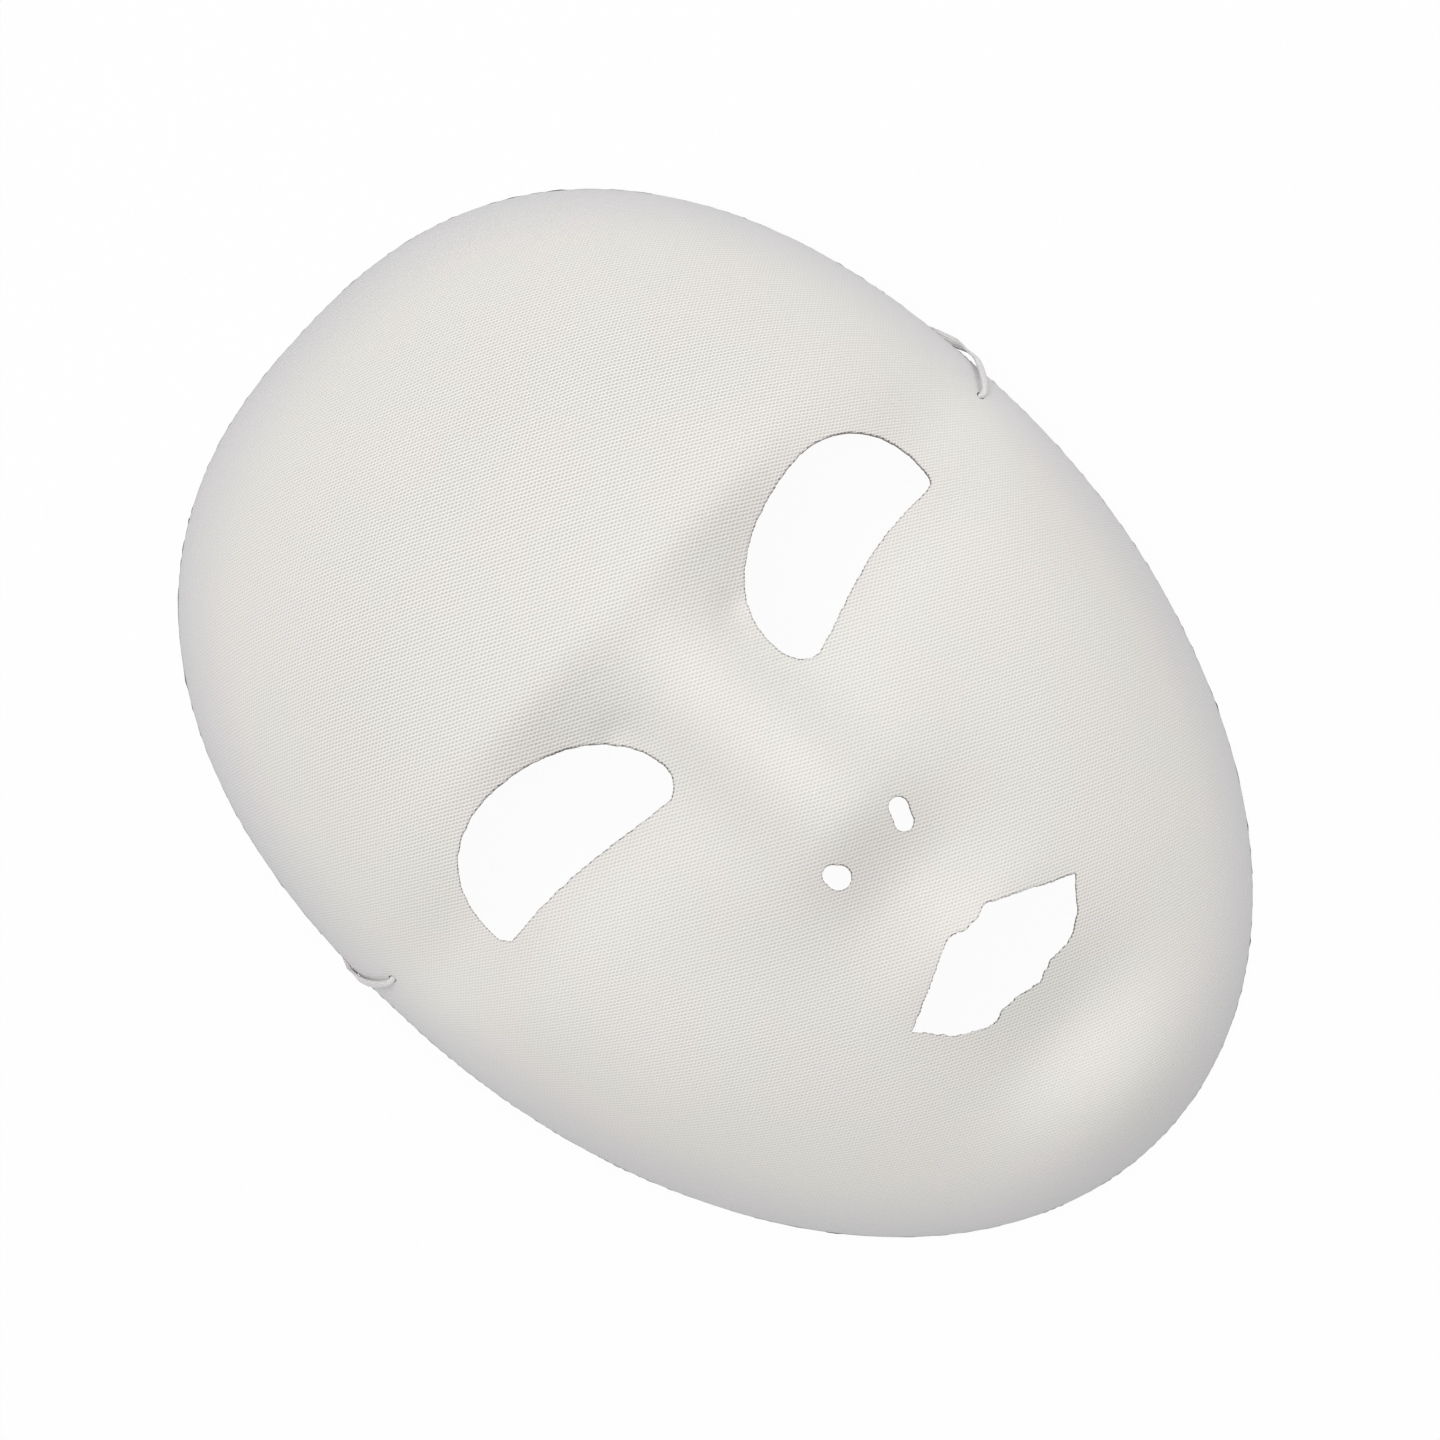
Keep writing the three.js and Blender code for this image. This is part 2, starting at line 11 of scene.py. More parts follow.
import bmesh
import bpy
import numpy as np
from mathutils import Matrix, Vector, noise


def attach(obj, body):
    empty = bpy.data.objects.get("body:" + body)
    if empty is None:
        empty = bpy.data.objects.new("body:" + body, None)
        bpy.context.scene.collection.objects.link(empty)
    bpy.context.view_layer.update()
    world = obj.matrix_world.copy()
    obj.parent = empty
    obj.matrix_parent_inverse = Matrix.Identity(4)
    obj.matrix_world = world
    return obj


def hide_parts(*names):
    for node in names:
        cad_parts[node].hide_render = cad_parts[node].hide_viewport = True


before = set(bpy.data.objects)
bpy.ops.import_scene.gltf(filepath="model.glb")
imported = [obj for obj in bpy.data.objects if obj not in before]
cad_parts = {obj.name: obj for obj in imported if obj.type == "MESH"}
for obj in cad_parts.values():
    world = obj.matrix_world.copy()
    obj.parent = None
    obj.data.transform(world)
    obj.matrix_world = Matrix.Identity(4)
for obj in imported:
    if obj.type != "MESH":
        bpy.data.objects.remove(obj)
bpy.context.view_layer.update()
MM = 0.001
print("packed pieces:", sorted(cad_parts))

# %% [markdown]
# ## Camera
# The picture looks down on the face from a little to its left, with the forehead at the
# upper left. A camera could be turned by three angles, found by trial. Three plain facts
# are easier to read and to change: where it stands, what it looks at, and which way on
# the face points up in the picture. The long lens keeps the outline nearly undistorted.

# %% Set the camera
CAMERA_PLACE = Vector((-26.0, 2.8, 1000.0)) * MM
CAMERA_AIM = Vector((-0.2, 3.8, 0.0)) * MM
PICTURE_UP = Vector((0.7373, 0.6756, 0.0))
LENS, SENSOR_WIDTH = 122.7, 36.0

camera_data = bpy.data.cameras.new("camera")
camera_data.sensor_width = SENSOR_WIDTH
camera_data.lens = LENS
camera = bpy.data.objects.new("camera", camera_data)
bpy.context.scene.collection.objects.link(camera)
backward = (CAMERA_PLACE - CAMERA_AIM).normalized()
rightward = PICTURE_UP.cross(backward).normalized()
upward = backward.cross(rightward)
turned = Matrix((rightward, upward, backward)).transposed().to_4x4()
camera.matrix_world = Matrix.Translation(CAMERA_PLACE) @ turned
bpy.context.scene.camera = camera
print("camera distance in m:", round((CAMERA_PLACE - CAMERA_AIM).length, 3))

# %% [markdown]
# ## Elastic strap
# The strap is one flat braided elastic. It comes out of each temple hole, drops beside
# the wall, slips under the rim and lies in a loop under the forehead. A bezier curve with
# a bevel would make a round cord. A strip that follows the route keeps its flat section
# and lets the strap turn from standing beside the wall to lying flat, so a grid is
# wrapped into a tube round the smooth route.

# %% Route of the strap
STRAP_ROUTE = [
    (79.78, 9.35, 15.4), (81.83, 9.25, 15.4), (83.87, 9.16, 15.4), (86.35, 11.3, 12.6),
    (87.8, 13.1, 9.3), (88.85, 14.9, 6.7), (89.12, 16.6, 4.9), (89.05, 18.5, 3.6),
    (88.7, 20.6, 2.6), (88.1, 22.8, 1.9), (87.2, 25.6, 1.4), (84.6, 31.0, 0.45),
    (82.2, 39.5, 0.45), (76.8, 50.5, 0.45), (68.4, 62.0, 0.45), (56.6, 72.6, 0.45),
    (41.5, 81.6, 0.45), (22.0, 88.0, 0.45), (0.0, 90.2, 0.45),
    (-22.0, 88.2, 0.45), (-41.5, 82.0, 0.45), (-56.8, 73.2, 0.45), (-68.6, 62.8, 0.45),
    (-77.0, 51.6, 0.45), (-82.3, 41.2, 0.45), (-85.0, 33.2, 0.45), (-86.5, 27.9, 1.4),
    (-87.4, 25.8, 2.2), (-88.05, 24.3, 3.3), (-88.3, 23.0, 4.8), (-88.05, 21.7, 6.6),
    (-87.5, 20.4, 8.9), (-86.6, 19.1, 11.4), (-85.45, 18.0, 13.9), (-84.07, 17.14, 15.4),
    (-82.11, 17.05, 15.4), (-80.16, 16.96, 15.4),
]
STRAP_WIDTH = 2.0
STRAP_THICKNESS = 0.6
BUNCH_WIDTH = 1.3
BUNCH_THICKNESS = 0.8
BUNCH_LENGTH, SPREAD_LENGTH = 2.7, 7.0
ROUTE_STEPS = 10


def smooth_route(points, steps):
    """Points along a centripetal curve through the given ones."""
    points = [Vector(point) for point in points]
    padded = [2 * points[0] - points[1]] + points + [2 * points[-1] - points[-2]]
    route = []
    for before, start, end, after in zip(padded, padded[1:], padded[2:], padded[3:]):
        gap_before = (start - before).length ** 0.5
        gap = (end - start).length ** 0.5
        gap_after = (after - end).length ** 0.5
        leave = (start - before) / gap_before - (end - before) / (gap_before + gap)
        leave = (leave + (end - start) / gap) * gap
        arrive = (end - start) / gap - (after - start) / (gap + gap_after)
        arrive = (arrive + (after - end) / gap_after) * gap
        for step in range(steps):
            t = step / steps
            route.append(
                (2 * t**3 - 3 * t**2 + 1) * start
                + (t**3 - 2 * t**2 + t) * leave
                + (3 * t**2 - 2 * t**3) * end
                + (t**3 - t**2) * arrive
            )
    return route + [points[-1]]


strap_path = smooth_route(STRAP_ROUTE, ROUTE_STEPS)
strap_length = sum((b - a).length for a, b in zip(strap_path, strap_path[1:]))
print("strap length in mm:", round(strap_length, 1))

# %% Wrap a grid round a route
def smoothstep(value):
    value = min(max(value, 0.0), 1.0)
    return value * value * (3.0 - 2.0 * value)


def strip_outline(width, thickness, sides):
    """Section of a flat strap, counter-clockwise, as a squashed rounded box."""
    section = []
    for side in range(sides):
        angle = 2 * math.pi * side / sides
        c, s = math.cos(angle), math.sin(angle)
        reach = (abs(c) ** 4 + abs(s) ** 4) ** -0.25
        section.append((0.5 * width * c * reach, 0.5 * thickness * s * reach))
    return section


def wrap_strip(name, path, frames, sections):
    """A closed tube of strap: frames give its two directions, sections its outline."""
    sides = len(sections[0])
    bm = bmesh.new()
    bmesh.ops.create_grid(bm, x_segments=sides, y_segments=len(path) - 1, size=1)
    threads = bm.loops.layers.uv.new("threads")
    travelled = [0.0]
    for a, b in zip(path, path[1:]):
        travelled.append(travelled[-1] + (b - a).length)
    place = {}
    for vert in bm.verts:
        side = round((vert.co.x + 1) / 2 * sides)
        step = round((vert.co.y + 1) / 2 * (len(path) - 1))
        place[vert] = (side, step)
    for face in bm.faces:
        face.smooth = True
        for loop in face.loops:
            side, step = place[loop.vert]
            loop[threads].uv = (side / sides, travelled[step] * MM)
    for vert, (side, step) in place.items():
        across, through = frames[step]
        u, v = sections[step][side % sides]
        vert.co = (path[step] + across * u + through * v) * MM
    bmesh.ops.remove_doubles(bm, verts=bm.verts, dist=1e-7)
    open_edges = [edge for edge in bm.edges if edge.is_boundary]
    bmesh.ops.holes_fill(bm, edges=open_edges, sides=sides)
    bmesh.ops.recalc_face_normals(bm, faces=bm.faces)
    mesh = bpy.data.meshes.new(name)
    bm.to_mesh(mesh)
    bm.free()
    piece = bpy.data.objects.new(name, mesh)
    bpy.context.scene.collection.objects.link(piece)
    return piece


def directions(path):
    """Unit direction of travel at each point of a path."""
    ahead = path[1:] + [2 * path[-1] - path[-2]]
    behind = [2 * path[0] - path[1]] + path[:-1]
    return [(a - b).normalized() for a, b in zip(ahead, behind)]


def section_at(spread, sides):
    """Bunched where spread is 0, flat where it is 1."""
    width = BUNCH_WIDTH + (STRAP_WIDTH - BUNCH_WIDTH) * spread
    thickness = BUNCH_THICKNESS + (STRAP_THICKNESS - BUNCH_THICKNESS) * spread
    return strip_outline(width, thickness, sides)


flat_width, flat_thickness = (2 * max(side) for side in zip(*section_at(1.0, 16)))
print("flat section in mm:", round(flat_width, 2), "by", round(flat_thickness, 2))

# %% Make the strap
LOOP_HEIGHT, TURN_HEIGHT = 0.45, 5.0
LOOP_MIDDLE_Y = 28.0
BESIDE_WALL = (-0.25, 0.77, 0.64)


def width_hint(point):
    """Up and forward beside the wall, and away from the loop's middle where flat."""
    flat = 1 - smoothstep((point.z - LOOP_HEIGHT) / TURN_HEIGHT)
    inward_x, forward, up = BESIDE_WALL
    beside = Vector((inward_x * math.copysign(1, point.x), forward, up))
    away = Vector((point.x, max(point.y - LOOP_MIDDLE_Y, 0.0), 0.0)).normalized()
    return (beside * (1 - flat) + away * flat).normalized()


strap_frames = []
strap_sections = []
for point, along in zip(strap_path, directions(strap_path)):
    across = width_hint(point)
    across = (across - along * across.dot(along)).normalized()
    strap_frames.append((across, along.cross(across)))
    from_hole = min((point - strap_path[0]).length, (point - strap_path[-1]).length)
    spread = smoothstep((from_hole - BUNCH_LENGTH) / SPREAD_LENGTH)
    strap_sections.append(section_at(spread, 16))

strap = wrap_strip("elastic_braid", strap_path, strap_frames, strap_sections)
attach(strap, "strap")
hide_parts("elastic_strap")
print("strap faces:", len(strap.data.polygons))

# %% [markdown]
# ## Knots
# Behind each hole the elastic is tied in an overhand knot, too thick to slip through,
# and its cut end sticks out. Two rings and a stub would only hint at it. The path of an
# open three-lobed knot, pulled tight, gives the real crossings, and the same wrapped
# strip follows it.

# %% Tie the two knots
KNOT_RADIUS = 1.75
KNOT_DEPTH = 0.95
KNOT_DRIFT = 1.1
LOBE_REACH = 2.6
KNOT_OPENING, KNOT_TURNS = 0.22, 60
TAIL_LENGTH = 8.0
TAIL_START, TAIL_SPREAD = 0.93, 0.05


def overhand_path(centre, outward):
    """Comes in from the hole, goes round the knot, and leaves as a tail."""
    side = Vector((0, 0, 1))
    third = outward.cross(side).normalized()
    local = [Vector((0.2, 0.1, 2.6)), Vector((0.5, 0.6, 2.2))]
    for step in range(KNOT_TURNS + 1):
        t = KNOT_OPENING + (2 * math.pi - 2 * KNOT_OPENING) * step / KNOT_TURNS
        x = KNOT_RADIUS * (math.sin(t) + 2 * math.sin(2 * t)) / LOBE_REACH
        y = KNOT_RADIUS * (math.cos(t) - 2 * math.cos(2 * t)) / LOBE_REACH
        drift = KNOT_DRIFT * (1 - 2 * step / KNOT_TURNS)
        local.append(Vector((x, y, drift - KNOT_DEPTH * math.sin(3 * t))))
    local.append(Vector((-0.3, -0.3, -2.6)))
    local.append(Vector((0.1, -0.2, -0.65 * TAIL_LENGTH)))
    local.append(Vector((0.3, 0.3, -TAIL_LENGTH)))
    return [centre + side * p.x + third * p.y + outward * p.z for p in local]


def tie_knot(name, node, centre, outward):
    path = smooth_route(overhand_path(centre, outward), 3)
    frames = []
    across = Vector((0, 0, 1))
    for along in directions(path):
        across = (across - along * across.dot(along)).normalized()
        frames.append((across, along.cross(across)))
    sections = []
    for step in range(len(path)):
        tail = smoothstep((step / len(path) - TAIL_START) / TAIL_SPREAD)
        sections.append(section_at(tail, 12))
    knot = wrap_strip(name, path, frames, sections)
    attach(knot, "strap")
    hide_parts(node)
    return knot


towards_right = Vector((0.9989, -0.0476, 0.0)).normalized()
right_knot = tie_knot(
    "overhand_knot_right", "knot_right", Vector((76.69, 9.5, 15.4)), towards_right
)
left_knot = tie_knot(
    "overhand_knot_left", "knot_left", Vector((-77.06, 16.81, 15.4)), -towards_right
)
strap_path[0] * MM
[point * MM for point in strap_path]
print("knot faces:", len(right_knot.data.polygons), len(left_knot.data.polygons))

# %% [markdown]
# ## Shape of the face
# The real face is pressed in a mould: one smooth dome over an egg-shaped rim, with
# brows, sockets, cheeks, a nose, lips and a chin worked into it. It could be sculpted by
# hand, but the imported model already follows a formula, a dome plus soft bumps, so the
# same formula is written here for whole arrays of points at once. Values are in
# millimetres.

# %% Outline and dome
RIM_HALF_WIDTH = 88.0
RIM_TO_FOREHEAD = 112.8
RIM_TO_CHIN = 127.2
FOREHEAD_SQUARENESS = 2.4
CHIN_SQUARENESS = 2.0
WIDEST_Y = (RIM_TO_CHIN - RIM_TO_FOREHEAD) / 2
DOME_HEIGHT = 54.0
FOREHEAD_CROWN_POWER = 2.85
CHIN_CROWN_POWER = 2.4
CROWN_CHANGE_SPAN = 60.0
DOME_WALL_POWER = 1.45
FEATURE_FADE_POWER = 12
ARCH_HEIGHT = 4.2
ARCH_HALF_SPAN = 70.0
ARCH_CENTRE_Y = 13.0
ARCH_RADIUS = (ARCH_HALF_SPAN**2 + ARCH_HEIGHT**2) / (2 * ARCH_HEIGHT)


def smooth_array(values):
    values = np.clip(values, 0.0, 1.0)
    return values * values * (3.0 - 2.0 * values)


def outline_norm(x, y):
    """0 at the middle of the rim outline, 1 on it."""
    above = y >= WIDEST_Y
    power = np.where(above, FOREHEAD_SQUARENESS, CHIN_SQUARENESS)
    length = np.where(above, RIM_TO_FOREHEAD, RIM_TO_CHIN)
    across = np.abs(x) / RIM_HALF_WIDTH
    along = np.abs(y - WIDEST_Y) / length
    return (across**power + along**power) ** (1 / power)


def arch_height(y):
    """How far the rim arches up at the temples, where the strap passes under."""
    along = np.minimum(np.abs(y - ARCH_CENTRE_Y), ARCH_HALF_SPAN)
    return np.sqrt(ARCH_RADIUS**2 - along**2) - ARCH_RADIUS + ARCH_HEIGHT


def dome_height(x, y):
    rho = np.minimum(outline_norm(x, y), 1.0)
    upper = smooth_array(0.5 + y / CROWN_CHANGE_SPAN)
    power = CHIN_CROWN_POWER + (FOREHEAD_CROWN_POWER - CHIN_CROWN_POWER) * upper
    return DOME_HEIGHT * (1 - rho**power) ** (1 / DOME_WALL_POWER)


probe_x, probe_y = np.array([0.0, 50.0]), np.array([7.2, -20.0])
print("dome in mm, middle and cheek:", dome_height(probe_x, probe_y).round(1))

# %% Features of the face
# Each line: rise, distance from the middle line, place along it, and two spreads
SOFT_FEATURES = {
    "brow": (1.6, 29.5, 34.3, 28.6, 6.0),
    "brow middle": (2.7, 0.0, 34.3, 23.4, 10.9),
    "eye socket": (-10.9, 30.2, 14.6, 23.1, 14.2),
    "inner eye": (-1.9, 17.1, 16.1, 4.7, 4.2),
    "temple": (-8.0, 70.0, 10.3, 19.7, 12.9),
    "cheek": (7.8, 69.3, -26.6, 24.0, 44.6),
    "nose bridge": (2.7, 0.0, -16.4, 9.3, 13.8),
    "nose wing": (3.8, 20.4, -24.7, 11.5, 15.9),
    "upper lip": (2.5, 0.0, -47.1, 11.2, 7.8),
    "lips": (8.9, 0.0, -61.2, 14.5, 8.4),
    "chin crease": (-6.4, 0.0, -87.6, 21.4, 11.4),
    "chin": (7.4, 0.0, -114.0, 24.7, 17.9),
}
NOSE_ROOT_RISE, NOSE_TIP_RISE = 2.3, 13.2
NOSE_START_Y, NOSE_ROOT_Y, NOSE_TIP_Y, NOSE_BASE_Y = 38.0, 28.4, -24.8, -46.8
NOSE_ROOT_SPREAD, NOSE_TIP_SPREAD, NOSE_SHOULDER_POWER = 9.6, 15.3, 2.6


def bell(distance, spread):
    return np.exp(-((distance / spread) ** 2))


def nose_height(x, y):
    growth = smooth_array((NOSE_ROOT_Y - y) / (NOSE_ROOT_Y - NOSE_TIP_Y))
    ridge = NOSE_ROOT_RISE + (NOSE_TIP_RISE - NOSE_ROOT_RISE) * growth
    start = smooth_array(
        (NOSE_START_Y - y) / (NOSE_START_Y - NOSE_ROOT_Y + NOSE_ROOT_SPREAD)
    )
    tuck = smooth_array((y - NOSE_BASE_Y) / (NOSE_TIP_Y - NOSE_BASE_Y))
    spread = NOSE_ROOT_SPREAD + (NOSE_TIP_SPREAD - NOSE_ROOT_SPREAD) * growth
    return ridge * start * tuck * np.exp(-((np.abs(x) / spread) ** NOSE_SHOULDER_POWER))


def face_height(x, y):
    """Height of the cloth's outer face over the surface that the mask lies on."""
    features = nose_height(x, y)
    for rise, side, place, spread_x, spread_y in SOFT_FEATURES.values():
        across = bell(x - side, spread_x)
        if side > 0:
            across = across + bell(x + side, spread_x)
        features = features + rise * across * bell(y - place, spread_y)
    near_rim = np.minimum(outline_norm(x, y), 1.0) ** FEATURE_FADE_POWER
    return dome_height(x, y) + features * (1 - near_rim) + arch_height(y) * near_rim


def face_normal(x, y):
    """Outward normals, read just inside the rim where the wall is steep."""
    step, steepest = 0.05, 0.998
    pull = np.minimum(1.0, steepest / np.maximum(outline_norm(x, y), steepest))
    px, py = x * pull, WIDEST_Y + (y - WIDEST_Y) * pull
    slope_x = (face_height(px + step, py) - face_height(px - step, py)) / (2 * step)
    slope_y = (face_height(px, py + step) - face_height(px, py - step)) / (2 * step)
    normal = np.stack([-slope_x, -slope_y, np.ones_like(slope_x)], axis=1)
    return normal / np.linalg.norm(normal, axis=1, keepdims=True)


print("nose tip in mm:", face_height(np.array([0.0]), np.array([NOSE_TIP_Y])).round(1))

# %% [markdown]
# ## Cut-outs
# The holes are cut through both layers with a blade or a die, so their edges show single
# threads. Each outline is drawn once, as curves or as corners, then walked in short steps
# and roughened a little, as cut cotton is. The mouth's lower lip was cut by hand and
# wavers more than the rest.

# %% Draw the outlines of the holes
RIGHT_EYE_CURVES = [
    [(64.7, 17.3), (57.5, 27.1), (47.1, 27.2)],
    [(35.3, 27.4), (17.1, 21.6), (16.3, 6.5)],
    [(15.9, 2.6), (17.4, -1.0), (21.0, -1.6)],
    [(31.2, 0.4), (42.2, 6.0), (58.7, 4.2)],
    [(60.5, 4.3), (61.7, 4.6), (62.3, 6.8)],
]
LEFT_EYE_CURVES = [
    [(62.6, 17.8), (57.4, 25.3), (46.5, 26.9)],
    [(35.1, 28.1), (16.5, 21.2), (15.3, 6.6)],
    [(14.8, 2.9), (18.3, 0.0), (20.2, 0.5)],
    [(30.3, 1.8), (42.5, 5.6), (58.1, 4.6)],
    [(60.3, 4.3), (61.3, 4.6), (62.2, 6.7)],
]
MOUTH_CORNERS = [
    (-20.8, -64.9), (-15.7, -71.9), (-10.2, -75.6), (-8.4, -76.1), (-5.8, -75.5),
    (-2.3, -75.7), (3.5, -77.4), (8.2, -75.8), (12.6, -76.2), (15.0, -75.5), (18.2, -73.7),
    (22.0, -69.6), (23.7, -67.8), (20.8, -66.2), (18.0, -64.6), (7.5, -58.2), (5.8, -57.9),
    (3.9, -58.9), (0.6, -58.4), (-2.1, -57.3), (-3.3, -57.3), (-6.2, -58.4), (-13.7, -61.9),
]
NOSTRILS = [
    [(9.15, -32.8, 2.1), (8.55, -34.1, 2.0), (7.95, -35.4, 2.05)],
    [(-9.05, -32.3, 2.1), (-8.6, -33.5, 2.5)],
]
TEMPLE_HOLES = [(1, 9.2), (-1, 17.1)]
HOLE_RADIUS, HOLE_HEIGHT = 0.85, 15.4


def bezier_outline(curves, steps=40):
    outline = []
    start = Vector(curves[-1][2])
    for first, second, end in curves:
        first, second, end = Vector(first), Vector(second), Vector(end)
        for step in range(steps):
            t = step / steps
            outline.append(
                (1 - t) ** 3 * start
                + 3 * (1 - t) ** 2 * t * first
                + 3 * (1 - t) * t**2 * second
                + t**3 * end
            )
        start = end
    return outline


def nostril_outline(circles, steps=48):
    """Outer outline of a few overlapping round punches."""
    centres = [Vector(circle[:2]) for circle in circles]
    middle = sum(centres, Vector((0, 0))) / len(circles)
    outline = []
    for step in range(steps):
        angle = 2 * math.pi * step / steps
        ray = Vector((math.cos(angle), math.sin(angle)))
        reach = 0.0
        for x, y, radius in circles:
            offset = Vector((x, y)) - middle
            along = offset.dot(ray)
            inside = radius**2 - (offset.length_squared - along**2)
            if inside > 0:
                reach = max(reach, along + math.sqrt(inside))
        outline.append(middle + ray * reach)
    return outline


def temple_outline(side, middle_y, steps=24):
    """A hole drilled sideways through the steep wall, seen from the front."""
    outline = []
    for step in range(steps):
        angle = 2 * math.pi * step / steps
        y = middle_y + HOLE_RADIUS * math.cos(angle)
        z = HOLE_HEIGHT + HOLE_RADIUS * math.sin(angle)
        inside, outside = 0.0, RIM_HALF_WIDTH
        for _ in range(30):
            middle = (inside + outside) / 2
            if face_height(np.array([middle]), np.array([y]))[0] > z:
                inside = middle
            else:
                outside = middle
        outline.append(Vector((side * inside, y)))
    return outline


eye_right = bezier_outline(RIGHT_EYE_CURVES)
eye_left = [Vector((-p.x, p.y)) for p in reversed(bezier_outline(LEFT_EYE_CURVES))]
mouth = [Vector(corner) for corner in MOUTH_CORNERS]
eye_xs = [point.x for point in eye_right]
print("right eye's width in mm:", round(max(eye_xs) - min(eye_xs), 1))

# %% Walk and roughen an outline
def counter_clockwise(outline):
    area = sum(a.x * b.y - b.x * a.y for a, b in zip(outline, outline[1:] + outline[:1]))
    return outline if area > 0 else outline[::-1]


def rough_outline(outline, step, roughness, seed):
    """Even short steps round a closed outline, each pushed in or out a little."""
    outline = counter_clockwise(outline)
    walked = []
    for start, end in zip(outline, outline[1:] + outline[:1]):
        count = max(1, round((end - start).length / step))
        walked += [start.lerp(end, i / count) for i in range(count)]
    kept = [walked[0]]
    for point in walked[1:]:
        if (point - kept[-1]).length > 0.6 * step:
            kept.append(point)
    rough = []
    for i, point in enumerate(kept):
        ahead = (kept[(i + 1) % len(kept)] - kept[i - 1]).normalized()
        outward = Vector((ahead.y, -ahead.x))
        coarse = noise.noise(Vector((point.x * 0.45, point.y * 0.45, seed)))
        fine = noise.noise(Vector((point.x * 2.3, point.y * 2.3, seed + 9)))
        rough.append(point + outward * roughness * (1.1 * coarse + fine))
    return rough


# Each line: an outline with its step, roughness and seed, and its border's width
CUTS = [
    (rough_outline(eye_right, 0.5, 0.16, 1.0), 0.4),
    (rough_outline(eye_left, 0.5, 0.16, 2.0), 0.4),
    (rough_outline(mouth, 0.5, 0.25, 3.0), 0.4),
    (rough_outline(nostril_outline(NOSTRILS[0]), 0.4, 0.1, 4.0), 0.3),
    (rough_outline(nostril_outline(NOSTRILS[1]), 0.4, 0.1, 5.0), 0.3),
    (rough_outline(temple_outline(*TEMPLE_HOLES[0]), 0.2, 0.02, 6.0), 0.05),
    (rough_outline(temple_outline(*TEMPLE_HOLES[1]), 0.2, 0.02, 7.0), 0.05),
]
print("steps round the holes:", [len(outline) for outline, border in CUTS])

# %% [markdown]
# ## Pressed sheet
# Both layers start as a square grid that is rounded into the egg-shaped outline, the way
# a square cloth is stretched over a round mould. A boolean cut would leave long thin
# faces and broken shading at the holes. Here the flat grid is bisected along every short
# step of an outline, the inside is deleted, and the cut edge is extruded into a narrow
# border. Only then is the sheet raised into the face.

# %% Round a grid into the outline
CENTRE_CROWDING = 0.2
RIM_CROWDING = 0.3


def grid_to_outline(u, v):
    a = u * (1 - CENTRE_CROWDING + CENTRE_CROWDING * u * u)
    b = v * (1 - CENTRE_CROWDING + CENTRE_CROWDING * v * v)
    disc_x = a * np.sqrt(1 - b * b / 2)
    disc_y = b * np.sqrt(1 - a * a / 2)
    radius = np.maximum(np.hypot(disc_x, disc_y), 1e-9)
    rho = radius * (1 + RIM_CROWDING - RIM_CROWDING * radius ** (1 / RIM_CROWDING))
    length = np.where(disc_y >= 0, RIM_TO_FOREHEAD, RIM_TO_CHIN)
    x = disc_x / radius * RIM_HALF_WIDTH
    y = disc_y / radius * length
    reach = rho / np.maximum(outline_norm(x, WIDEST_Y + y), 1e-9)
    return x * reach, WIDEST_Y + y * reach


def flat_sheet(columns, rows):
    bm = bmesh.new()
    bmesh.ops.create_grid(bm, x_segments=columns, y_segments=rows, size=1)
    u = np.array([vert.co.x for vert in bm.verts])
    v = np.array([vert.co.y for vert in bm.verts])
    x, y = grid_to_outline(u, v)
    for vert, px, py in zip(bm.verts, x, y):
        vert.co = (px, py, 0.0)
    return bm


corner_x, corner_y = grid_to_outline(np.array([1.0]), np.array([1.0]))
print("grid's corner lands at, in mm:", corner_x.round(1), corner_y.round(1))

# %% Find what lies at an outline
def is_inside(point, outline):
    inside = False
    for a, b in zip(outline, outline[1:] + outline[:1]):
        if (a.y > point.y) != (b.y > point.y):
            if point.x < a.x + (point.y - a.y) * (b.x - a.x) / (b.y - a.y):
                inside = not inside
    return inside


def widened(outline, border):
    """The outline moved outward by the border's width, point for point."""
    wide = []
    for i, point in enumerate(outline):
        ahead = (outline[(i + 1) % len(outline)] - outline[i - 1]).normalized()
        wide.append(point + Vector((ahead.y, -ahead.x)) * border)
    return wide


def faces_along(bm, outline, reach):
    points = np.array([tuple(p) for p in outline])
    low, high = points.min(axis=0) - reach, points.max(axis=0) + reach
    found = set()
    for face in bm.faces:
        centre = face.calc_center_median()
        if low[0] < centre.x < high[0] and low[1] < centre.y < high[1]:
            gaps = np.hypot(points[:, 0] - centre.x, points[:, 1] - centre.y)
            if gaps.min() < reach:
                found.add(face)
    return found


mouth_middle = Vector((0.0, -66.0))
print("mouth's middle is inside its outline:", is_inside(mouth_middle, CUTS[2][0]))

